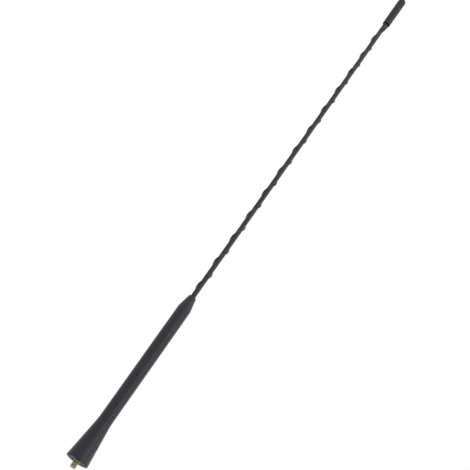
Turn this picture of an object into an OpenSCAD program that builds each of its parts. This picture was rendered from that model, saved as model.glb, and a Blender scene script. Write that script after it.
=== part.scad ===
// Screw-in roof antenna for a car: a long whip of wire-wound rod under a ridged skin,
// held in a moulded handle with a flared foot and a threaded brass ferrule.
// Z runs up the mast. The origin is the centre of the foot's seating face, at the root of the stud.

/* [Handle] */
// Diameter of the handle's long straight grip
handle_d = 11.35; // [10:0.05:13]
// Height of the handle from its seat to its mouth
handle_h = 160.6; // [150:0.2:180]
// Diameter of the flared foot at the seat
foot_d = 18.9; // [15:0.1:24]
// Height at which the flare runs into the grip
flare_h = 36; // [25:0.5:45]
// Radius that blends the flare into the grip
flare_blend_r = 70; // [20:1:90]
// Radius on the foot's lower rim
foot_edge_r = 0.6; // [0.2:0.05:1]
// Length of the tapered nose at the top of the handle
nose_l = 12.6; // [8:0.2:20]
// Diameter of the nose at its upper end
nose_d = 6.5; // [5.8:0.05:8]
// Radius that blends the grip into the nose
nose_blend_r = 12; // [2:0.5:16]
// Radius on the nose's upper rim
mouth_edge_r = 0.9; // [0.2:0.05:1]

/* [Handle details] */
// Diameter of the holes that the mould's locating pins leave
pin_hole_d = 1.2; // [0.8:0.05:2]
// Height of the lower ring of pin holes
pin_low_z = 51; // [45:0.5:60]
// Distance between the two rings of pin holes
pin_ring_gap = 27.9; // [10:0.1:40]
// Number of pin holes in a ring
pin_holes = 4; // [2:1:6]
// Angle of the first pin hole round the handle
pin_angle = -96.6; // [-180:0.1:180]
// Diameter of the shallow gate mark on the flare
gate_d = 2.4; // [1:0.1:4]
// Depth of the gate mark
gate_depth = 0.4; // [0.1:0.05:0.8]
// Height of the gate mark
gate_z = 15.5; // [8:0.5:25]
// Angle of the gate mark round the handle
gate_angle = -33; // [-180:1:180]
// Diameter of the recess round the ferrule in the foot
recess_d = 8.4; // [7.6:0.1:10]
// Depth of that recess
recess_depth = 1.8; // [0.5:0.1:3]

/* [Ferrule] */
// Nominal diameter of the threaded stud
stud_d = 5; // [4:0.1:6]
// Length of the stud below the seat
stud_l = 5.7; // [4:0.1:12]
// Chamfer on the stud's end
stud_chamfer = 0.6; // [0.2:0.05:1]
// Diameter of the collar round the stud's root
collar_d = 6.6; // [6.2:0.1:7.2]
// Height of the collar
collar_h = 3.4; // [3.2:0.1:5]
// Width across the flats of the hexagon that keeps the ferrule from turning
hex_af = 8; // [7:0.1:9]
// Height of the hexagon
hex_h = 9; // [5:0.5:12]
// Diameter of the groove that the handle grips
groove_d = 6.2; // [5.8:0.1:6.6]
// Height of that groove
groove_h = 2; // [1:0.1:4]
// Diameter of the crimped tube that holds the core rod
crimp_d = 7; // [6.2:0.1:8]
// Height of the crimped tube
crimp_h = 9.6; // [6:0.2:14]
// Height of the bottom of the ferrule's socket above the seat
socket_floor_z = 6; // [4:0.5:10]

/* [Core rod] */
// Diameter of the core rod
rod_d = 3.5; // [3:0.05:4]
// Distance from the rod's upper end to the mast's tip
rod_below_tip = 3.6; // [2:0.1:8]

/* [Antenna wire] */
// Diameter of the wire
wire_d = 0.8; // [0.5:0.05:1]
// Distance between turns in the loading coil
coil_pitch = 4; // [3:0.1:6]
// Distance between turns along the open whip
open_pitch = 26.66; // [18:0.02:40]
// Distance between turns where the whip is wound tightest
tight_pitch = 22.95; // [16:0.1:40]
// Angle at which the wire leaves the handle's mouth
exit_angle = 28.1; // [-180:0.1:180]
// Distance from the handle's mouth down to the top of the loading coil
coil_below_mouth = 42.6; // [36:0.2:90]
// Height over which the turns open from the coil to the whip
opening_l = 16; // [6:1:22]
// Length over which the turns close up again towards the tip
closing_l = 92; // [20:1:150]
// Length over which the wire straightens out below the cap
lead_l = 26; // [10:1:40]
// How far the wire's end stands off the rod at the cap
lead_lift = 0.45; // [0:0.05:0.6]
// How far the wire runs up inside the cap
wire_in_cap = 12; // [2:0.5:25]

/* [Sleeve] */
// Thickness of the shrunk skin over the rod and the wire
skin = 0.3; // [0.2:0.02:0.5]
// Distance from the sleeve's upper end to the rod's end
sleeve_below_rod = 0.6; // [0.2:0.1:3]

/* [Tip cap] */
// Height of the mast's tip above the seat
tip_z = 544.6; // [400:0.5:700]
// Diameter of the cap near its top
cap_d = 7.4; // [7.1:0.05:9]
// Diameter of the cap at its mouth
cap_mouth_d = 7.2; // [7:0.05:9]
// Length of the cap
cap_l = 37.2; // [20:0.2:50]
// Radius of the cap's domed end
cap_dome_r = 3.5; // [2:0.05:3.5]
// Radius on the cap's lower rim
cap_edge_r = 0.25; // [0.1:0.05:0.4]
// How far the wire inside it pushes the cap off the rod's axis
cap_shift = 0.55; // [0:0.05:0.7]

/* [Fits] */
// Gap between pieces that are moulded or pushed together
fit_gap = 0.05; // [0.02:0.01:0.1]
// Gap between the wire and what it lies on or under
wire_gap = 0.07; // [0.06:0.01:0.12]

/* [Hidden] */

// Steps in the round: full circles, rounded corners, the wire's section and one turn of the winding
$fn = 96;
corner_steps = 5;
wire_sides = 6;
turn_steps = 12;
// Faces of the sleeve from one side of the ridge round to the other
plain_steps = 8;
// The sleeve's rings are at most this far apart
ring_gap = 4;
// How far a cut runs past the face that it opens
past = 1;

// Heights of the ferrule's steps
hex_z = collar_h;
groove_z = hex_z + hex_h;
crimp_z = groove_z + groove_h;
ferrule_top = crimp_z + crimp_h;

// The rod and the wire that is wound on it
rod_r = rod_d / 2;
wire_r = wire_d / 2;
rod_top = tip_z - rod_below_tip;
rod_bottom = socket_floor_z + fit_gap;
wire_at = rod_r + wire_gap + wire_r;
cap_z = tip_z - cap_l;
wire_bottom = ferrule_top + wire_gap + wire_r;
wire_top = cap_z + wire_in_cap;
coil_top_z = handle_h - coil_below_mouth;
lead_z = cap_z - lead_l;
closing_z = lead_z - closing_l;
// Share of the tight winding that is left where the wire enters the cap
lead_rest = 0.05;

// Radii of the skin's inside and outside: over the wire, round the rod and round the coil.
// A flat face between two corners of the section cuts in, so the bores make up for it.
bore_wire_r = wire_r + wire_gap;
skin_wire_r = bore_wire_r + skin;
rod_face_angle = 34;
coil_face_angle = 40;
bore_r = (rod_r + fit_gap) / cos(rod_face_angle / 2);
sleeve_r = bore_r + skin;
coil_bore_r = (wire_at + bore_wire_r) / cos(coil_face_angle / 2);
coil_skin_r = coil_bore_r + skin;
// The crest of the ridge where it enters the cap
cap_crest_r = wire_at + lead_lift + skin_wire_r;
sleeve_bottom = ferrule_top + fit_gap;
sleeve_top = rod_top - sleeve_below_rod;
// The skin draws in from the coil to the whip between these heights
neck_z = coil_top_z + opening_l + 4;
neck_l = 5;
// Above the wire's end the ridge dies away to a trace over this length
ridge_end_l = 1.5;
ridge_trace = 0.2;

// Points of a rounded corner between two straight edges
function unit(v) = v / norm(v);
function corner_arc(before, at, after, r) =
    let (a = unit(before - at),
         b = unit(after - at),
         half = acos(a * b) / 2,
         centre = at + unit(a + b) * r / sin(half),
         from = at + a * r / tan(half) - centre,
         to = at + b * r / tan(half) - centre,
         sweep = 180 - 2 * half)
    [for (i = [0:corner_steps])
        let (k = i / corner_steps)
        centre + (from * sin(sweep * (1 - k)) + to * sin(sweep * k)) / sin(sweep)];

// Outline through corners given as [radius from the axis, height, corner radius]
function outline(corners) =
    let (last = len(corners) - 1)
    [for (i = [0:last])
        let (c = corners[i], at = [c[0], c[1]])
        each c[2] == 0 ? [at] :
            corner_arc([corners[i - 1][0], corners[i - 1][1]], at,
                       [corners[i + 1][0], corners[i + 1][1]], c[2])];

// Area under a slope that rises from 0 to 1 over a length, then stays at 1
function above(x, from) = max(0, x - from);
function ramp(x, from, length) = (above(x, from) - above(x, from + length)) / length;
function ramp_area(x, from, length) =
    (pow(above(x, from), 2) - pow(above(x, from + length), 2)) / (2 * length);

// Turns of wire for each millimetre of height: many in the coil, few along the whip,
// a few more towards the tip, and almost none where the wire runs out straight
function winding(z) = 1 / coil_pitch
    - (1 / coil_pitch - 1 / open_pitch) * ramp(z, coil_top_z, opening_l)
    + (1 / tight_pitch - 1 / open_pitch) * ramp(z, closing_z, closing_l)
    - (1 - lead_rest) / tight_pitch * ramp(z, lead_z, lead_l);
function turns(z) = z / coil_pitch
    - (1 / coil_pitch - 1 / open_pitch) * ramp_area(z, coil_top_z, opening_l)
    + (1 / tight_pitch - 1 / open_pitch) * ramp_area(z, closing_z, closing_l)
    - (1 - lead_rest) / tight_pitch * ramp_area(z, lead_z, lead_l);
function wire_angle(z) = exit_angle + 360 * (turns(z) - turns(handle_h));

function wire_radius(z) = wire_at + lead_lift * ramp(z, lead_z, lead_l);

// Heights of the rings, a fixed part of a turn apart
function ring_step(z) = min(ring_gap, 1 / (turn_steps * winding(z)));
function stations(from, to) = [for (z = from; z < to - ring_step(z) / 2; z = z + ring_step(z)) z];

// Section of the sleeve at a height, as [angle from the wire, radius]: round the wire's back,
// straight down to the rod on both sides, and round the rest of the rod
function polar(p) = [atan2(p[1], p[0]), norm(p)];
function ridge_profile(plain_r, over_wire_r, centre_r) =
    let (touch = acos((plain_r - over_wire_r) / centre_r),
         plain_arc = 360 - 2 * touch)
    concat([[-touch, plain_r]],
           [for (a = [-touch, 0, touch]) polar([centre_r + over_wire_r * cos(a), over_wire_r * sin(a)])],
           [for (i = [0:plain_steps - 1]) [touch + plain_arc * i / plain_steps, plain_r]]);
// The same section grows out of the round tube over the coil, and is all but plain above the wire
function tube_share(z) = 1 - ramp(z, neck_z, neck_l);
function ridge_share(z) = 1 - (1 - ridge_trace) * ramp(z, wire_top, ridge_end_l);
function sleeve_ring(z, plain_r, over_wire_r, tube_r) =
    let (turn = wire_angle(min(max(z, neck_z), wire_top)),
         tube = tube_share(z),
         ridge = ridge_share(z))
    [for (p = ridge_profile(plain_r, over_wire_r, wire_radius(z)))
        let (open_r = plain_r + (p[1] - plain_r) * ridge,
             r = tube_r * tube + open_r * (1 - tube))
        [r * cos(p[0] + turn), r * sin(p[0] + turn), z]];

// Faces of a skin over rings of equal length, seen clockwise from outside, starting at a point
function side_faces(rings, size, start, inward) =
    [for (i = [0:rings - 2], j = [0:size - 1])
        let (a = start + i * size + j,
             b = start + i * size + (j + 1) % size,
             c = a + size,
             d = b + size)
        each inward ? [[a, b, c], [b, d, c]] : [[a, c, b], [b, c, d]]];
function flat(lists) = [for (l = lists) each l];

// A solid swept through rings that go counterclockwise, seen from its far end
module solid_sweep(rings) {
    size = len(rings[0]);
    last = (len(rings) - 1) * size;
    polyhedron(flat(rings),
        concat(side_faces(len(rings), size, 0, false),
               [[for (j = [0:size - 1]) j]],
               [[for (j = [0:size - 1]) last + size - 1 - j]]));
}

// A tube swept through matching outer and inner rings
module tube_sweep(outer, inner) {
    size = len(outer[0]);
    count = len(outer);
    inner_start = count * size;
    last = (count - 1) * size;
    polyhedron(concat(flat(outer), flat(inner)),
        concat(side_faces(count, size, 0, false),
               side_faces(count, size, inner_start, true),
               [for (j = [0:size - 1])
                   let (k = (j + 1) % size)
                   each [[j, k, inner_start + k],
                         [j, inner_start + k, inner_start + j],
                         [last + k, last + j, inner_start + last + j],
                         [last + k, inner_start + last + j, inner_start + last + k]]]));
}

// One turned and milled piece of brass: stud, collar, hexagon, groove and crimped tube.
// The grown form, without the stud, is what the handle is moulded round.
module ferrule_form(grow) {
    translate([0, 0, -grow]) cylinder(h = collar_h + 2 * grow, d = collar_d + 2 * grow);
    translate([0, 0, hex_z - grow]) cylinder(h = hex_h + 2 * grow, d = (hex_af + 2 * grow) / cos(30), $fn = 6);
    translate([0, 0, hex_z]) cylinder(h = hex_h + groove_h + crimp_h, d = groove_d + 2 * grow);
    translate([0, 0, crimp_z - grow]) cylinder(h = crimp_h + 2 * grow, d = crimp_d + 2 * grow);
}

module ferrule() {
    stud_r = stud_d / 2;
    color("#a89c74")
    difference() {
        union() {
            ferrule_form(0);
            rotate_extrude() polygon([[0, -stud_l], [stud_r - stud_chamfer, -stud_l],
                [stud_r, stud_chamfer - stud_l], [stud_r, 0], [0, 0]]);
        }
        translate([0, 0, socket_floor_z]) cylinder(h = ferrule_top, d = rod_d + 2 * fit_gap);
    }
}

// Glass-fibre rod that carries the winding, with its foot in the ferrule's socket
module core_rod() {
    color("#c9c2a6")
    translate([0, 0, rod_bottom]) cylinder(h = rod_top - rod_bottom, d = rod_d);
}

// Heights that the rings of wire and sleeve share along the whip
whip_heights = concat(stations(neck_z, wire_top), [wire_top]);

// One length of wire: close turns in the handle, then a long right-handed helix up to the cap
module antenna_wire() {
    rings = [for (z = concat(stations(wire_bottom, neck_z), whip_heights))
        let (turn = wire_angle(z),
             r = wire_radius(z),
             rise = unit([0, 2 * PI * r * winding(z), 1]),
             out = [cos(turn), sin(turn), 0],
             along = [-sin(turn) * rise[1], cos(turn) * rise[1], rise[2]],
             across = cross(along, out))
        [for (i = [0:wire_sides - 1])
            let (a = 360 * (i + 0.5) / wire_sides)
            r * out + [0, 0, z] + wire_r * (cos(a) * out + sin(a) * across)]];
    color("#8a4b2c") solid_sweep(rings);
}

// Heights of the sleeve's rings: its two ends, and the whip between them
sleeve_heights = concat([sleeve_bottom], whip_heights, [wire_top + ridge_end_l, sleeve_top]);

// Black skin shrunk over rod and wire, which shows the wire as a helical ridge
module sleeve() {
    color("#333335")
    tube_sweep([for (z = sleeve_heights) sleeve_ring(z, sleeve_r, skin_wire_r, coil_skin_r)],
               [for (z = sleeve_heights) sleeve_ring(z, bore_r, bore_wire_r, coil_bore_r)]);
}

// The room that the sleeve takes up in the handle. Its round part is the wider one,
// so that the corners of the ridged part start well inside it.
module sleeve_room() {
    grow = fit_gap;
    translate([0, 0, ferrule_top - past])
        cylinder(h = neck_z + past / 2 - ferrule_top + past, r = coil_skin_r + 2 * grow);
    heights = [for (z = sleeve_heights) if (z > ferrule_top + past && z < handle_h + 3 * past) z];
    rings = [for (z = heights) sleeve_ring(z, sleeve_r + grow, skin_wire_r + grow, coil_skin_r + grow)];
    solid_sweep(rings);
}

// Moulded handle: flared foot, straight grip, tapered nose, and the marks that its mould leaves
module handle() {
    foot_r = foot_d / 2;
    grip_r = handle_d / 2;
    color("#3f3e43")
    difference() {
        rotate_extrude() polygon(outline([
            [0, 0, 0],
            [foot_r, 0, foot_edge_r],
            [grip_r, flare_h, flare_blend_r],
            [grip_r, handle_h - nose_l, nose_blend_r],
            [nose_d / 2, handle_h, mouth_edge_r],
            [0, handle_h, 0]]));
        translate([0, 0, -past]) cylinder(h = recess_depth + past, d = recess_d);
        ferrule_form(fit_gap);
        sleeve_room();
        for (z = [pin_low_z, pin_low_z + pin_ring_gap], i = [0:pin_holes - 1])
            rotate([0, 0, pin_angle + 360 * i / pin_holes])
                translate([rod_r, 0, z]) rotate([0, 90, 0]) cylinder(h = handle_d, d = pin_hole_d);
        rotate([0, 0, gate_angle]) gate_mark();
    }
}

// Shallow round pit, square to the flare's slope
module gate_mark() {
    slope = atan2((foot_d - handle_d) / 2, flare_h);
    face_r = foot_d / 2 - gate_z * tan(slope);
    translate([face_r, 0, gate_z]) rotate([0, 90 - slope, 0])
        translate([0, 0, -gate_depth]) cylinder(h = gate_depth + past, d = gate_d);
}

// Rubber cap pushed over the rod's end and the last of the ridge, which sets it a little off the axis
module tip_cap() {
    side = wire_angle(wire_top);
    bore = max(sleeve_r + cap_shift, cap_crest_r - cap_shift) + fit_gap;
    color("#3c3c3e")
    translate([cap_shift * cos(side), cap_shift * sin(side), cap_z])
    difference() {
        rotate_extrude() polygon(outline([
            [0, 0, 0],
            [cap_mouth_d / 2, 0, cap_edge_r],
            [cap_d / 2, cap_l - 2 * cap_dome_r, 0],
            [cap_d / 2, cap_l, cap_dome_r],
            [0, cap_l, 0]]));
        translate([0, 0, -past]) cylinder(h = rod_top + fit_gap - cap_z + past, r = bore);
    }
}

ferrule();
core_rod();
antenna_wire();
sleeve();
handle();
tip_cap();
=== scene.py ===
# %% [markdown]
# # A screw-in antenna for a car's roof
# The CAD part already has the right sizes. This lesson gives it the looks of the real thing: a
# black whip with a ridge that winds up it, a moulded handle and a brass stud. Blender works in
# metres here, in the frame of the CAD part: Z runs up the mast, and the origin is where the stud
# meets the foot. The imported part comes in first, because every piece is set against it.

import math
import random

import bpy
from mathutils import Matrix, Vector


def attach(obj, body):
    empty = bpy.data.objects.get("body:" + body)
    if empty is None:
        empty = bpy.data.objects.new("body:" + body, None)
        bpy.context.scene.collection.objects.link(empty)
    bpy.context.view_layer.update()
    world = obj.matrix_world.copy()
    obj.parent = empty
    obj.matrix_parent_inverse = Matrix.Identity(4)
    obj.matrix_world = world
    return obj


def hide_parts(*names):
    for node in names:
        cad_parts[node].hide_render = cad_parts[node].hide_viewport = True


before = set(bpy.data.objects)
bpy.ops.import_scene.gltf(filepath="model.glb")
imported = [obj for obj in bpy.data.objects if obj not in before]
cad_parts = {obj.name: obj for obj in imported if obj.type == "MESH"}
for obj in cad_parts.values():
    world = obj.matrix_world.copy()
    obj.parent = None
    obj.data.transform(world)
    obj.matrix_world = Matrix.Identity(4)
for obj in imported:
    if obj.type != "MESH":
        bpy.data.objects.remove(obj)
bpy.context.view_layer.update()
print("CAD nodes:", ", ".join(sorted(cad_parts)))

# %% [markdown]
# ## The sizes
# A drawing of a small part is in millimetres, so the sizes stay in millimetres and are turned
# into metres only when a mesh is made. They are the ones of the CAD source: a dressed piece then
# lies where its solid lies.

# %% Sizes in millimetres
MM = 0.001
HANDLE_D, HANDLE_H, FOOT_D = 11.35, 160.6, 18.9
FLARE_H, FLARE_BLEND_R, FOOT_EDGE_R = 36, 70, 0.6
NOSE_L, NOSE_D, NOSE_BLEND_R, MOUTH_EDGE_R = 12.6, 6.5, 12, 0.9
RECESS_R, RECESS_DEPTH = 4.2, 1.8
PIN_HOLE_R, PIN_LOW_Z, PIN_RING_GAP, PIN_HOLES, PIN_ANGLE = 0.6, 51, 27.9, 4, -96.6
GATE_R, GATE_DEPTH, GATE_Z, GATE_ANGLE = 1.2, 0.4, 15.5, -33
STUD_D, STUD_L, STUD_CHAMFER = 5, 5.7, 0.6
COLLAR_D, COLLAR_H, HEX_AF, HEX_H = 6.6, 3.4, 8, 9
GROOVE_D, GROOVE_H, CRIMP_D, CRIMP_H = 6.2, 2, 7, 9.6
SOCKET_FLOOR_Z, ROD_D, ROD_BELOW_TIP, WIRE_D = 6, 3.5, 3.6, 0.8
TIP_Z, CAP_L, CAP_D, CAP_MOUTH_D = 544.6, 37.2, 7.4, 7.2
CAP_DOME_R, CAP_EDGE_R, CAP_SHIFT, WIRE_IN_CAP = 3.5, 0.25, 0.55, 12
SKIN, SLEEVE_BELOW_ROD, FIT, WIRE_FIT = 0.3, 0.6, 0.05, 0.07

CRIMP_Z = COLLAR_H + HEX_H + GROOVE_H
FERRULE_TOP = CRIMP_Z + CRIMP_H
ROD_TOP = TIP_Z - ROD_BELOW_TIP
CAP_Z = TIP_Z - CAP_L
print(f"ferrule up to {FERRULE_TOP} mm, rod up to {ROD_TOP} mm, cap from {CAP_Z:.1f} mm")

# %% [markdown]
# ## Where the wire runs
# Under the skin lies one wire. In the handle it is a close coil, and along the whip it is an open
# right-handed helix: one turn in about 27 mm, in 23 mm towards the tip, and nearly straight where
# it ends below the cap. The turns in each millimetre change along straight ramps, so the angle of
# the wire is the area under those ramps. The same law places the ridge, the bore and the cap.

# %% The winding
COIL_PITCH, OPEN_PITCH, TIGHT_PITCH, LEAD_REST = 4, 26.66, 22.95, 0.05
COIL_BELOW_MOUTH, OPENING_L, EXIT_ANGLE = 42.6, 16, 28.1
COIL_TOP_Z = HANDLE_H - COIL_BELOW_MOUTH
LEAD_L, LEAD_LIFT, CLOSING_L = 26, 0.45, 92
LEAD_Z = CAP_Z - LEAD_L
CLOSING_Z = LEAD_Z - CLOSING_L
WIRE_TOP = CAP_Z + WIRE_IN_CAP
NECK_Z, NECK_L = COIL_TOP_Z + OPENING_L + 4, 5
WIRE_AT = ROD_D / 2 + WIRE_FIT + WIRE_D / 2


def ramp(x, start, length):
    """0 below start, 1 above start + length, and a straight slope between."""
    return min(max((x - start) / length, 0), 1)


def ramp_area(x, start, length):
    """Area under that slope from far below up to x."""
    climb = min(max(x - start, 0), length)
    return climb * climb / (2 * length) + max(x - start - length, 0)


def turns(z):
    """Turns that the wire has made up to a height."""
    return (
        z / COIL_PITCH
        - (1 / COIL_PITCH - 1 / OPEN_PITCH) * ramp_area(z, COIL_TOP_Z, OPENING_L)
        + (1 / TIGHT_PITCH - 1 / OPEN_PITCH) * ramp_area(z, CLOSING_Z, CLOSING_L)
        - (1 - LEAD_REST) / TIGHT_PITCH * ramp_area(z, LEAD_Z, LEAD_L)
    )


def wire_angle(z):
    """Angle of the wire round the mast, in radians. It leaves the handle at the exit angle."""
    return math.radians(EXIT_ANGLE) + 2 * math.pi * (turns(z) - turns(HANDLE_H))


def wire_radius(z):
    """The wire's end stands a little off the rod where it goes under the cap."""
    return WIRE_AT + LEAD_LIFT * ramp(z, LEAD_Z, LEAD_L)


print(f"turns between the handle and the cap: {turns(CAP_Z) - turns(HANDLE_H):.2f}")

# %% [markdown]
# ## The camera
# The mast leans 35.3 degrees to the right in the picture, and its foot is nearer to the camera
# than its tip: the picture plane is tilted by 26 degrees to it. So the camera stands 0.76 m away,
# a little below the foot, looks up by 26 degrees, and is rolled. The lens is 1000 pixels long for
# a picture of 470. A matrix with the camera's right, up and back directions sets all of this at
# once, which is easier to check than three Euler angles.

# %% Set up the camera
PICTURE, FOCAL = 470, 1000
TILT, LEAN = math.radians(26), math.radians(35.3)
FOOT_DEPTH, FOOT_BELOW, FOOT_ASIDE = 0.7447, 276, 1.5

forward = Vector((0, math.cos(TILT), math.sin(TILT)))
mast_up = Vector((0, -math.sin(TILT), math.cos(TILT)))
mast_right = Vector((1, 0, 0))
right = math.cos(LEAN) * mast_right + math.sin(LEAN) * mast_up
up = math.cos(LEAN) * mast_up - math.sin(LEAN) * mast_right
place = -FOOT_DEPTH * (forward - FOOT_BELOW / FOCAL * mast_up + FOOT_ASIDE / FOCAL * mast_right)

camera = bpy.data.objects.new("camera", bpy.data.cameras.new("camera"))
bpy.context.scene.collection.objects.link(camera)
camera.data.sensor_width = 36
camera.data.lens = 36 * FOCAL / PICTURE
axes = Matrix((right, up, -forward)).transposed()
camera.matrix_world = Matrix.Translation(place) @ axes.to_4x4()
bpy.context.scene.camera = camera
print("camera at", [round(x, 4) for x in place], "with a lens of", round(camera.data.lens, 1), "mm")

# %% [markdown]
# ## A skin through rings
# Every visible piece of this mast is long and nearly round, so all of them can be lofted: rings
# with the same number of points are laid one above the other and joined with quads. A lathe or
# the Screw modifier would do for the plain ones, but not for the hexagon, the thread and the
# ridge, whose radius changes with the angle. One helper for all is the simpler way. Rings run
# counterclockwise, so faces look outwards where the rings climb, and inwards where they descend.

# %% Helpers for lofted pieces
def smooth_shaded(mesh, sharp_from=32):
    """Smooth shading, with edges kept sharp where faces meet at more than an angle."""
    mesh.shade_smooth()
    mesh.set_sharp_from_angle(angle=math.radians(sharp_from))


def lofted(name, rings, joined=False):
    """A closed mesh through rings of (x, y, z) points in millimetres. Its two ends are closed
    with a fan each, or the last ring is joined to the first."""
    size, count = len(rings[0]), len(rings)
    points = [tuple(MM * c for c in p) for ring in rings for p in ring]
    faces = []
    for i in range(count if joined else count - 1):
        low, high = i * size, (i + 1) % count * size
        for j in range(size):
            k = (j + 1) % size
            faces.append((low + j, low + k, high + k, high + j))
    if not joined:
        for start, flip in ((0, True), ((count - 1) * size, False)):
            ring = points[start : start + size]
            centre = len(points)
            points.append(tuple(sum(c) / size for c in zip(*ring)))
            for j in range(size):
                edge = (start + j, start + (j + 1) % size)
                faces.append((centre, *(edge[::-1] if flip else edge)))
    mesh = bpy.data.meshes.new(name)
    mesh.from_pydata(points, [], faces)
    mesh.validate()
    smooth_shaded(mesh)
    piece = bpy.data.objects.new(name, mesh)
    bpy.context.scene.collection.objects.link(piece)
    return piece


def ring(radius, z, sides):
    """Points round the mast at a height. The radius may be a number or a function of the angle."""
    angles = [2 * math.pi * i / sides for i in range(sides)]
    radii = [radius(a) if callable(radius) else radius for a in angles]
    return [(r * math.cos(a), r * math.sin(a), z) for a, r in zip(angles, radii)]


def report(piece):
    """Prints the size of a finished piece in millimetres, and its number of triangles."""
    points = [v.co for v in piece.data.vertices]
    size = [1000 * (max(p[i] for p in points) - min(p[i] for p in points)) for i in range(3)]
    triangles = sum(len(f.vertices) - 2 for f in piece.data.polygons)
    print(f"{piece.name}: {' x '.join(f'{s:.2f}' for s in size)} mm, {triangles} triangles")


def on_the_mast(piece, finish, slot, *nodes):
    """Gives a finished piece its material, and lets it stand for its CAD nodes."""
    piece.data.materials.clear()
    piece.data.materials.append(finish)
    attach(piece, "root")
    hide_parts(*nodes)
    report(piece)


print("helpers: smooth_shaded, lofted, ring, report, on_the_mast")

# %% [markdown]
# Moulded and turned corners are never knife-sharp. The next helper takes the corners of an
# outline, each with its radius, and puts an arc into each, as a draughtsman does.

# %% Outlines with rounded corners
def outline(corners, steps=10):
    """Points along (radius from the axis, height, corner radius) corners."""
    points = []
    for i, (r, z, corner_r) in enumerate(corners):
        at = Vector((r, z))
        if not corner_r:
            points.append(at)
            continue
        before = (Vector(corners[i - 1][:2]) - at).normalized()
        after = (Vector(corners[i + 1][:2]) - at).normalized()
        half = before.angle(after) / 2
        centre = at + (before + after).normalized() * corner_r / math.sin(half)
        start = at + before * corner_r / math.tan(half) - centre
        end = at + after * corner_r / math.tan(half) - centre
        sweep = math.pi - 2 * half
        for k in range(steps + 1):
            share = k / steps
            along = start * math.sin(sweep * (1 - share)) + end * math.sin(sweep * share)
            points.append(centre + along / math.sin(sweep))
    return points


def turned(name, points, sides):
    """A lofted piece from an outline, as a lathe would turn it."""
    return lofted(name, [ring(r, z, sides) for r, z in points])


print("helpers: outline, turned")

# %% [markdown]
# ## Finishes
# All the finishes are built the same way: a little variation of colour and of roughness, and a
# few layers of fine relief. Noise in object coordinates keeps each grain at its real size in
# millimetres, on every side of the piece, with no unwrapping. The helpers below hold what the
# finishes share.

# %% Helpers for finishes
def colour(red, green, blue):
    """A colour written as 0 to 255 values, as a picture shows it."""

    def linear(value):
        share = value / 255
        return share / 12.92 if value <= 10.31 else ((share + 0.055) / 1.055) ** 2.4

    return (linear(red), linear(green), linear(blue), 1)


class Finish:
    """A material with a surface shader, and short ways to add grain, colour and relief."""

    def __init__(self, name, **surface):
        self.material = bpy.data.materials.new(name)
        self.material.use_nodes = True
        self.tree = self.material.node_tree
        self.shader = self.tree.nodes["Principled BSDF"]
        self.place = self.tree.nodes.new("ShaderNodeTexCoord").outputs["Object"]
        self.relief_so_far = None
        for socket, value in surface.items():
            self.shader.inputs[socket.replace("_", " ")].default_value = value

    def add(self, kind, values=(), **settings):
        made = self.tree.nodes.new(kind)
        for name, value in settings.items():
            setattr(made, name, value)
        for socket, value in dict(values).items():
            if isinstance(value, bpy.types.NodeSocket):
                self.tree.links.new(value, made.inputs[socket])
            else:
                made.inputs[socket].default_value = value
        return made

    def grain(self, size, detail=2.0, stretch=1.0, offset=0.0):
        """Noise with features of about this many millimetres, drawn out along the mast."""
        mapping = self.add(
            "ShaderNodeMapping",
            {"Vector": self.place, "Location": (offset,) * 3, "Scale": (1, 1, 1 / stretch)},
        )
        noise = self.add(
            "ShaderNodeTexNoise",
            {"Vector": mapping.outputs[0], "Scale": 1 / (size * MM), "Detail": detail},
        )
        return noise.outputs["Fac"]

    def spread(self, fac, low, high, to_low, to_high):
        """Stretches part of a signal's range to a new one."""
        spread = self.add(
            "ShaderNodeMapRange",
            {"Value": fac, "From Min": low, "From Max": high, "To Min": to_low, "To Max": to_high},
        )
        return spread.outputs["Result"]

    def paint(self, fac, *stops):
        """Colour from a signal, through (position, colour) stops."""
        ramp_node = self.add("ShaderNodeValToRGB", {"Fac": fac})
        elements = ramp_node.color_ramp.elements
        marks = [elements[0], elements[1]] + [elements.new(0.5) for _ in stops[2:]]
        for mark, (position, shade) in zip(marks, stops):
            mark.position, mark.color = position, shade
        self.tree.links.new(ramp_node.outputs["Color"], self.shader.inputs["Base Color"])

    def roughness(self, fac, low, high):
        self.tree.links.new(self.spread(fac, 0.3, 0.7, low, high), self.shader.inputs["Roughness"])

    def relief(self, fac, depth):
        """Adds a layer of relief this many millimetres deep on top of those before it."""
        values = {"Height": fac, "Distance": depth * MM}
        if self.relief_so_far is not None:
            values["Normal"] = self.relief_so_far
        self.relief_so_far = self.add("ShaderNodeBump", values).outputs["Normal"]
        self.tree.links.new(self.relief_so_far, self.shader.inputs["Normal"])


print("helpers: colour, Finish")

# %% [markdown]
# ### Moulded handle plastic
# The handle is a hard black plastic with a faint violet cast. A mould gives it a satin skin: it is
# neither glossy nor quite even, so the edge of a reflected lamp is soft. A very fine spark-eroded
# grain and a slower waviness, left by shrinking in the mould, do that.

# %% Handle plastic
handle_plastic = Finish("handle_plastic", Specular_IOR_Level=0.32)
clouds = handle_plastic.grain(9, detail=3, stretch=3)
handle_plastic.paint(clouds, (0.35, colour(36, 35, 40)), (0.65, colour(42, 41, 46)))
handle_plastic.roughness(handle_plastic.grain(1.4, detail=4, offset=0.1), 0.33, 0.42)
handle_plastic.relief(handle_plastic.grain(5, detail=1, stretch=2), 0.012)
handle_plastic.relief(handle_plastic.grain(0.28, detail=2, offset=0.2), 0.0035)
print("finish:", handle_plastic.material.name)

# %% [markdown]
# ### Shrunk skin
# The skin over the whip is a heat-shrink tube. Shrinking leaves it a little uneven along its
# length, with fine lines drawn along the mast, and a bit glossier than the handle where the wire
# stretches it.

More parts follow.
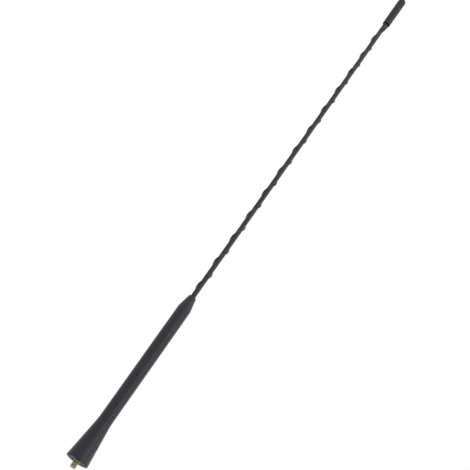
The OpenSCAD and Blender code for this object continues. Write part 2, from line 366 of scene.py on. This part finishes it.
# %% Shrunk skin
shrunk_skin = Finish("shrunk_skin", Specular_IOR_Level=0.4)
skin_clouds = shrunk_skin.grain(4, detail=3, stretch=2)
shrunk_skin.paint(skin_clouds, (0.35, colour(30, 30, 31)), (0.65, colour(37, 37, 38)))
shrunk_skin.roughness(shrunk_skin.grain(2.2, detail=3, offset=0.1), 0.3, 0.42)
shrunk_skin.relief(shrunk_skin.grain(2.4, detail=2, stretch=2.5), 0.012)
shrunk_skin.relief(shrunk_skin.grain(0.22, detail=2, stretch=6, offset=0.3), 0.004)
print("finish:", shrunk_skin.material.name)

# %% [markdown]
# ### Cap rubber
# The cap is a softer, matt black rubber with no cast. Its grain is coarser than the handle's, and
# it scatters light, so it shows hardly any highlight.

# %% Cap rubber
cap_rubber = Finish("cap_rubber", Specular_IOR_Level=0.35)
cap_rubber.paint(cap_rubber.grain(2.5, detail=4), (0.3, colour(38, 38, 38)), (0.7, colour(48, 48, 48)))
cap_rubber.roughness(cap_rubber.grain(1.1, detail=3, offset=0.4), 0.5, 0.62)
cap_rubber.relief(cap_rubber.grain(2, detail=2), 0.02)
cap_rubber.relief(cap_rubber.grain(0.3, detail=3, offset=0.5), 0.008)
print("finish:", cap_rubber.material.name)

# %% [markdown]
# ### Turned brass
# The stud is bare brass that has gone pale and a little grey in air. The lathe's tool leaves fine
# rings round it, so one layer of noise is squashed along the axis until it is a stack of rings.

# %% Turned brass
turned_brass = Finish("turned_brass", Metallic=1.0, Anisotropic=0.4)
tarnish = turned_brass.grain(1.6, detail=4)
turned_brass.paint(
    tarnish, (0.3, colour(150, 141, 112)), (0.55, colour(190, 182, 155)), (0.75, colour(203, 196, 172))
)
turned_brass.roughness(turned_brass.grain(0.7, detail=3, offset=0.2), 0.22, 0.4)
turned_brass.relief(turned_brass.grain(3, detail=2, stretch=0.03), 0.004)
print("finish:", turned_brass.material.name)

# %% [markdown]
# ### The finishes inside
# The rod and the wire are hidden under the skin. They get their own finishes all the same,
# because the part may be shown cut open: glass fibre is pale and drawn out along the rod, and the
# wire has a clear brown varnish.

# %% Glass fibre and copper wire
glass_fibre = Finish("glass_fibre")
fibres = glass_fibre.grain(0.15, detail=3, stretch=120)
glass_fibre.paint(fibres, (0.3, colour(196, 188, 158)), (0.7, colour(222, 216, 192)))
glass_fibre.roughness(glass_fibre.grain(0.5, detail=2, stretch=20), 0.3, 0.45)
glass_fibre.relief(glass_fibre.grain(0.12, detail=1, stretch=200), 0.006)

copper_wire = Finish("copper_wire", Metallic=0.7, Coat_Weight=0.8, Coat_Roughness=0.1)
varnish = copper_wire.grain(1.2, detail=3)
copper_wire.paint(varnish, (0.3, colour(118, 58, 32)), (0.7, colour(152, 82, 48)))
copper_wire.roughness(copper_wire.grain(0.6, detail=2), 0.22, 0.35)
copper_wire.relief(copper_wire.grain(0.4, detail=2), 0.002)

for node_name, finish in (("core_rod", glass_fibre), ("antenna_wire", copper_wire)):
    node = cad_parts[node_name]
    node.data.materials.clear()
    node.data.materials.append(finish.material)
    print(node_name, "keeps its CAD mesh, with the finish", finish.material.name)

# %% [markdown]
# ## The ferrule
# One turned piece of brass holds the mast in its socket on the car: a threaded stud, a collar, a
# hexagon and a groove that the handle is moulded over, and a tube crimped on the rod. The CAD part
# has all of it but the thread. The thread is an M5 one with a pitch of 0.8 mm. It could be cut
# with a Boolean and a swept triangle, but a loft does it with no cut at all: the radius of each
# point follows from its height and angle, because the thread is the same profile at every angle,
# only shifted along the axis by one pitch in a turn.

# %% The thread's radius
THREAD_PITCH, THREAD_DEPTH = 0.8, 0.43
HALF_CREST, FLANK_L = 0.0625, 0.3125
RUN_OUT_Z, RUN_OUT_L = -0.75, 0.6
THREAD_R = STUD_D / 2 - 0.01


def thread_radius(angle, z):
    """Radius of the stud: crest, flanks and root of the thread, its chamfer, and its run-out.
    The half crest and the flank are shares of the pitch."""
    phase = (z / THREAD_PITCH - angle / (2 * math.pi)) % 1
    off_crest = abs(phase - 0.5)
    height = min(max(1 - (off_crest - HALF_CREST) / FLANK_L, 0), 1)
    depth = THREAD_DEPTH * (1 - ramp(z, RUN_OUT_Z, RUN_OUT_L))
    full = THREAD_R - depth * (1 - height)
    return min(full, STUD_D / 2 - STUD_CHAMFER + (z + STUD_L) * 0.9)


print("thread radius at the crest:", thread_radius(0, -2.0))
print("thread radius at the root:", round(thread_radius(math.pi, -2.0), 3))

# %% [markdown]
# The rest of the ferrule is a stack of rings at round heights. The hexagon has its corners on
# every sixteenth of the 96 points, so they stay sharp.

# %% Loft the ferrule
BRASS_SIDES = 96


def hexagon(angle):
    """Radius of the hexagon at an angle: its corners lie at 0, 60, 120 degrees and so on."""
    return HEX_AF / 2 / math.cos(angle % math.radians(60) - math.radians(30))


STUD_ROWS, COLLAR_EDGE = 120, 0.18
stud = [-STUD_L + (STUD_L - 0.06) * i / STUD_ROWS for i in range(STUD_ROWS + 1)]
rings = [ring(lambda a, z=z: thread_radius(a, z), z, BRASS_SIDES) for z in stud]
steps = [
    (THREAD_R, 0.0),
    (COLLAR_D / 2 - COLLAR_EDGE, 0.0),
    (COLLAR_D / 2 - COLLAR_EDGE * 0.3, COLLAR_EDGE * 0.3),
    (COLLAR_D / 2, COLLAR_EDGE),
    (COLLAR_D / 2, COLLAR_H),
    (hexagon, COLLAR_H),
    (hexagon, COLLAR_H + HEX_H),
    (GROOVE_D / 2, COLLAR_H + HEX_H),
    (GROOVE_D / 2, CRIMP_Z),
    (CRIMP_D / 2, CRIMP_Z),
    (CRIMP_D / 2, FERRULE_TOP),
    (ROD_D / 2 + FIT, FERRULE_TOP),
    (ROD_D / 2 + FIT, SOCKET_FLOOR_Z),
]
rings += [ring(r, z, BRASS_SIDES) for r, z in steps]
ferrule = lofted("ferrule_turned", rings)
on_the_mast(ferrule, turned_brass.material, "brass", "ferrule")

# %% [markdown]
# ## The skin over rod and wire
# In section the skin is a circle round the rod that is drawn out over the wire: a small arc round
# the wire's back, two nearly straight flanks down to the rod, and the plain arc round the rest.
# The flanks sag in a little, because the skin pulls tight. A curve bevel or a sculpted ridge would
# not keep that section, so the radius is written as a function of the angle from the wire, and
# the ring turns with the wire as it climbs. Points lie closer together near the ridge.

# %% The skin's section
def ridge_radius(off, plain, over_wire, centre, sag):
    """Radius at an angle off the wire: arc over the wire, sagging flank, plain arc."""
    off = abs(off)
    touch = math.acos((plain - over_wire) / centre)
    shoulder = math.atan2(over_wire * math.sin(touch), centre + over_wire * math.cos(touch))
    if off <= shoulder:
        return centre * math.cos(off) + math.sqrt(over_wire**2 - (centre * math.sin(off)) ** 2)
    if off >= touch:
        return plain
    share = (off - shoulder) / (touch - shoulder)
    return plain / math.cos(touch - off) - sag * math.sin(math.pi * share) ** 2


RIDGE_SIDE = math.radians(52)
NEAR_STEPS, FAR_STEPS = 15, 22
near = [RIDGE_SIDE * (i / NEAR_STEPS - 1) for i in range(2 * NEAR_STEPS + 1)]
far = [RIDGE_SIDE + (2 * math.pi - 2 * RIDGE_SIDE) * (i + 1) / FAR_STEPS for i in range(FAR_STEPS - 1)]
SECTION = near + far
print("points round the skin:", len(SECTION))

# %% [markdown]
# The mast is thicker over the coil in the handle, and the skin necks in just below the handle's
# mouth. Above the wire's end, under the cap, the ridge fades away. Real skin is never quite
# even, so a few slow waves with seeded random phases move it by some hundredths of a millimetre.

# %% Loft the skin
random.seed(7)
waves = [(random.uniform(5, 16), random.randint(1, 3), random.uniform(0, 6.28)) for _ in range(5)]
ROD_SKIN_R, COIL_SKIN_R, COIL_ROOM_R = 2.14, 3.12, 3.26
SAG, WAVE_HEIGHT = 0.07, 0.006
RIDGE_END_L, RIDGE_TRACE = 1.5, 0.2
FINE_STEP, COARSE_STEP = 0.8, 1.2


def unevenness(angle, z):
    """The sum of the slow waves at a point of the skin."""
    phases = [2 * math.pi * z / length + n * angle + start for length, n, start in waves]
    return WAVE_HEIGHT * sum(math.sin(phase) for phase in phases)


def skin_ring(z, plain, over_wire, tube, sag):
    """A ring of the skin: a round tube over the coil, and the ridged section along the whip."""
    turn = wire_angle(min(max(z, NECK_Z), WIRE_TOP))
    open_share = ramp(z, NECK_Z, NECK_L)
    ridge_share = 1 - (1 - RIDGE_TRACE) * ramp(z, WIRE_TOP, RIDGE_END_L)
    points = []
    for off in SECTION:
        ridged = ridge_radius(off, plain, over_wire, wire_radius(min(z, WIRE_TOP)), sag)
        r = tube + (plain + (ridged - plain) * ridge_share - tube) * open_share
        r += unevenness(turn + off, z) * open_share
        points.append((r * math.cos(off + turn), r * math.sin(off + turn), z))
    return points


bottom, top = FERRULE_TOP + FIT, ROD_TOP - SLEEVE_BELOW_ROD
heights = [bottom, NECK_Z]
while heights[-1] < top - COARSE_STEP:
    in_sight = heights[-1] < CAP_Z + 4
    heights.append(heights[-1] + (FINE_STEP if in_sight else COARSE_STEP))
heights.append(top)
over = WIRE_D / 2 + WIRE_FIT + SKIN
outside = [skin_ring(z, ROD_SKIN_R, over, COIL_SKIN_R, SAG) for z in heights]
lining = (ROD_SKIN_R - SKIN, over - SKIN, COIL_SKIN_R - SKIN, 0.0)
inside = [skin_ring(z, *lining) for z in reversed(heights)]
sleeve = lofted("sleeve_ridged", outside + inside, joined=True)
on_the_mast(sleeve, shrunk_skin.material, "shrink_skin", "sleeve")

# %% [markdown]
# ## The handle
# The handle is one moulding. Its outside is a turned form: a straight flare that blends into the
# grip over a long radius, and a nose that tapers to the mouth. It starts as a plain lathe piece.
# Everything that the mould's cores and pins leave open is then carved out with Boolean
# modifiers, which is how the mould makes it too.

# %% Turn the outside of the handle
HANDLE_SIDES = 144
GRIP_HEIGHTS = range(44, 145, 4)
flare_corners = [
    (0, 0, 0),
    (FOOT_D / 2, 0, FOOT_EDGE_R),
    (HANDLE_D / 2, FLARE_H, FLARE_BLEND_R),
    (HANDLE_D / 2, HANDLE_H, 0),
]
nose_corners = [
    (HANDLE_D / 2, 0, 0),
    (HANDLE_D / 2, HANDLE_H - NOSE_L, NOSE_BLEND_R),
    (NOSE_D / 2, HANDLE_H, MOUTH_EDGE_R),
    (0, HANDLE_H, 0),
]
flare = outline(flare_corners, 24)[1:-1]
nose = outline(nose_corners, 14)[1:-1]
grip = [Vector((HANDLE_D / 2, z)) for z in GRIP_HEIGHTS]
handle = turned("handle_moulded", flare + grip + nose, HANDLE_SIDES)
report(handle)

# %% [markdown]
# The bore is one long tool: the recess round the ferrule, the ferrule's own steps with a gap of
# 0.05 mm, the round room for the coil, and the ridged opening that fits the skin. It is lofted
# like the pieces themselves.

# %% The tool for the bore
def room_ring(z):
    """A ring of the ridged part of the bore: the skin's own section, one gap larger."""
    angles = [2 * math.pi * i / BRASS_SIDES for i in range(BRASS_SIDES)]
    turn, open_share = wire_angle(max(z, NECK_Z)), ramp(z, NECK_Z, NECK_L)
    points = []
    for angle in angles:
        off = (angle - turn + math.pi) % (2 * math.pi) - math.pi
        ridged = ridge_radius(off, ROD_SKIN_R + FIT, over + FIT, WIRE_AT, 0.0)
        r = COIL_ROOM_R + (ridged - COIL_ROOM_R) * open_share
        points.append((r * math.cos(angle), r * math.sin(angle), z))
    return points


bore = [
    (RECESS_R, -1),
    (RECESS_R, RECESS_DEPTH),
    (COLLAR_D / 2 + FIT, RECESS_DEPTH),
    (COLLAR_D / 2 + FIT, COLLAR_H - FIT),
    (lambda a: hexagon(a) + FIT, COLLAR_H - FIT),
    (lambda a: hexagon(a) + FIT, COLLAR_H + HEX_H + FIT),
    (GROOVE_D / 2 + FIT, COLLAR_H + HEX_H + FIT),
    (GROOVE_D / 2 + FIT, CRIMP_Z - FIT),
    (CRIMP_D / 2 + FIT, CRIMP_Z - FIT),
    (CRIMP_D / 2 + FIT, FERRULE_TOP + FIT),
    (COIL_ROOM_R, FERRULE_TOP + FIT),
]
bore_rings = [ring(r, z, BRASS_SIDES) for r, z in bore]
bore_rings += [room_ring(NECK_Z + i) for i in range(0, int(HANDLE_H - NECK_Z) + 3)]
bore_tool = lofted("bore_tool", bore_rings)
report(bore_tool)

# %% [markdown]
# Two rings of pins hold the rod in the middle of the mould while the plastic flows in, and leave
# small round holes. The gate, where the plastic came in, is a shallow pit on the flare, with the
# stub that was torn off in its middle.

# %% The tools for the pin holes and the gate
def turned_tool(name, points, sides, place):
    """A small tool, turned about its own axis and then put in place."""
    tool = turned(name, points, sides)
    tool.data.transform(place)
    return tool


pins = []
pin_line = [(PIN_HOLE_R, ROD_D / 2), (PIN_HOLE_R, 8)]
for z in (PIN_LOW_Z, PIN_LOW_Z + PIN_RING_GAP):
    for i in range(PIN_HOLES):
        spin = Matrix.Rotation(math.radians(PIN_ANGLE + 360 / PIN_HOLES * i), 4, "Z")
        lay = Matrix.Translation((0, 0, z * MM)) @ spin @ Matrix.Rotation(math.radians(90), 4, "Y")
        pins.append(turned_tool("pin_tool", pin_line, 24, lay))

slope = math.atan2((FOOT_D - HANDLE_D) / 2, FLARE_H)
gate_r = FOOT_D / 2 - GATE_Z * math.tan(slope)
lay = (
    Matrix.Rotation(math.radians(GATE_ANGLE), 4, "Z")
    @ Matrix.Translation((gate_r * MM, 0, GATE_Z * MM))
    @ Matrix.Rotation(math.pi / 2 - slope, 4, "Y")
)
stub = [(0.4, -0.17), (0.55, -GATE_DEPTH)]
pit = [(GATE_R - 0.1, -GATE_DEPTH), (GATE_R, 0.1 - GATE_DEPTH), (GATE_R, 1)]
gate = turned_tool("gate_tool", stub + pit, 32, lay)
print(len(pins), "pin holes and one gate mark")

# %% [markdown]
# The exact Boolean solver leaves clean edges. The carved mesh is taken from the dependency graph
# and put back into the handle, so that no modifier or tool is left in the scene.

# %% Carve the handle
def carve(piece, tool):
    """Cuts a tool out of a piece for good, and throws the tool away."""
    cut = piece.modifiers.new("cut", "BOOLEAN")
    cut.operation, cut.solver, cut.object = "DIFFERENCE", "EXACT", tool
    bpy.context.view_layer.update()
    seen = piece.evaluated_get(bpy.context.evaluated_depsgraph_get())
    carved = bpy.data.meshes.new_from_object(seen)
    piece.modifiers.clear()
    piece.data = carved
    bpy.data.objects.remove(tool)


for tool in [bore_tool, *pins, gate]:
    carve(handle, tool)
smooth_shaded(handle.data, 25)
on_the_mast(handle, handle_plastic.material, "handle_plastic", "handle")

# %% [markdown]
# ## The cap
# A rubber cap is pushed over the end of the rod. It widens a little from its mouth to its dome.
# The end of the wire lies under one side of it, so it sits half a millimetre off the axis. It is
# turned like the handle, with its bore as part of the same outline. The bore clears the solid
# skin of the CAD part, which is a little wider at the corners of its section.

# %% Turn the cap
SOLID_SKIN_R = 2.182
cap_lean = wire_angle(WIRE_TOP)
cap_bore = max(SOLID_SKIN_R + CAP_SHIFT, WIRE_AT + LEAD_LIFT + over - CAP_SHIFT) + FIT
cap_line = outline(
    [
        (0, 0, 0),
        (CAP_MOUTH_D / 2, 0, CAP_EDGE_R),
        (CAP_D / 2, CAP_L - 2 * CAP_DOME_R, 0),
        (CAP_D / 2, CAP_L, CAP_DOME_R),
        (0, CAP_L, 0),
    ],
    16,
)[1:-1]
cap_line = [Vector((cap_bore, ROD_TOP + FIT - CAP_Z)), Vector((cap_bore, 0))] + cap_line
cap = turned("tip_cap_domed", cap_line, 96)
cap_place = Vector((CAP_SHIFT * math.cos(cap_lean), CAP_SHIFT * math.sin(cap_lean), CAP_Z))
cap.data.transform(Matrix.Translation(MM * cap_place))
on_the_mast(cap, cap_rubber.material, "cap_rubber", "tip_cap")

# %% [markdown]
# ## Light
# The picture is lit like a catalogue shot: white all round, and two large soft lamps on the
# right. The reflection of the key lamp is the lighter band along the right half of the handle,
# and the weaker side lamp carries on from it towards the edge. A lamp's place can be read from a
# round bar: a point of the band that lies at some angle round the bar mirrors what stands at
# twice that angle from the camera. The band starts about 11 degrees to the right of the middle,
# so the key lamp starts some 22 degrees to the right of the camera.

# %% Lamps
def soft_lamp(name, azimuth, elevation, distance, width, height, power):
    """A rectangular lamp that faces the middle of the mast. Azimuth 0 is at the camera's side
    and 90 is to its right, in degrees. Distance and size are in metres, power in watts."""
    middle = Vector((0, 0, 0.25))
    a, e = math.radians(azimuth), math.radians(elevation)
    away = Vector((math.sin(a) * math.cos(e), -math.cos(a) * math.cos(e), math.sin(e)))
    data = bpy.data.lights.new(name, "AREA")
    data.shape, data.size, data.size_y, data.energy = "RECTANGLE", width, height, power
    lamp = bpy.data.objects.new(name, data)
    bpy.context.scene.collection.objects.link(lamp)
    lamp.location = middle + distance * away
    lamp.rotation_mode = "QUATERNION"
    lamp.rotation_quaternion = (-away).to_track_quat("-Z", "Y")
    return lamp


soft_lamp("key_lamp", 42, 25, 1.6, 1.0, 1.8, 7)
soft_lamp("side_lamp", 95, 20, 1.6, 1.4, 1.8, 3)

# %% [markdown]
# ## Floor and backdrop
# The backdrop is white. It comes from the world, which is white for the camera and for mirrored
# rays, and softer where it only lights the object. The camera looks up at the mast, so the pale
# floor lies well below the foot: it is out of the picture, but other views show it with the
# mast's shadow.

# %% World and floor
world = bpy.data.worlds.new("white_studio")
bpy.context.scene.world = world
world.use_nodes = True
nodes, links = world.node_tree.nodes, world.node_tree.links
paths = nodes.new("ShaderNodeLightPath")
seen_directly = paths.outputs["Is Camera Ray"]
for ray in ("Is Glossy Ray", "Is Transmission Ray"):
    either = nodes.new("ShaderNodeMath")
    either.operation = "MAXIMUM"
    links.new(seen_directly, either.inputs[0])
    links.new(paths.outputs[ray], either.inputs[1])
    seen_directly = either.outputs[0]
level = nodes.new("ShaderNodeMapRange")
level.inputs["To Min"].default_value = 0.6
level.inputs["To Max"].default_value = 1.0
links.new(seen_directly, level.inputs["Value"])
nodes["Background"].inputs["Color"].default_value = (1, 1, 1, 1)
links.new(level.outputs["Result"], nodes["Background"].inputs["Strength"])

floor_finish = Finish("pale_floor", Roughness=0.9, Specular_IOR_Level=0.2)
floor_clouds = floor_finish.grain(60, detail=2)
floor_finish.paint(floor_clouds, (0.3, (0.8, 0.8, 0.8, 1)), (0.7, (0.83, 0.83, 0.83, 1)))
FLOOR_Z, HALF = -0.4, 8
corners = [(x * HALF, y * HALF, FLOOR_Z) for x, y in ((-1, -1), (1, -1), (1, 1), (-1, 1))]
floor_mesh = bpy.data.meshes.new("floor")
floor_mesh.from_pydata(corners, [], [(0, 1, 2, 3)])
floor_mesh.materials.append(floor_finish.material)
floor = bpy.data.objects.new("floor", floor_mesh)
bpy.context.scene.collection.objects.link(floor)

bpy.context.scene.view_settings.view_transform = "Standard"
print("world and floor are ready")
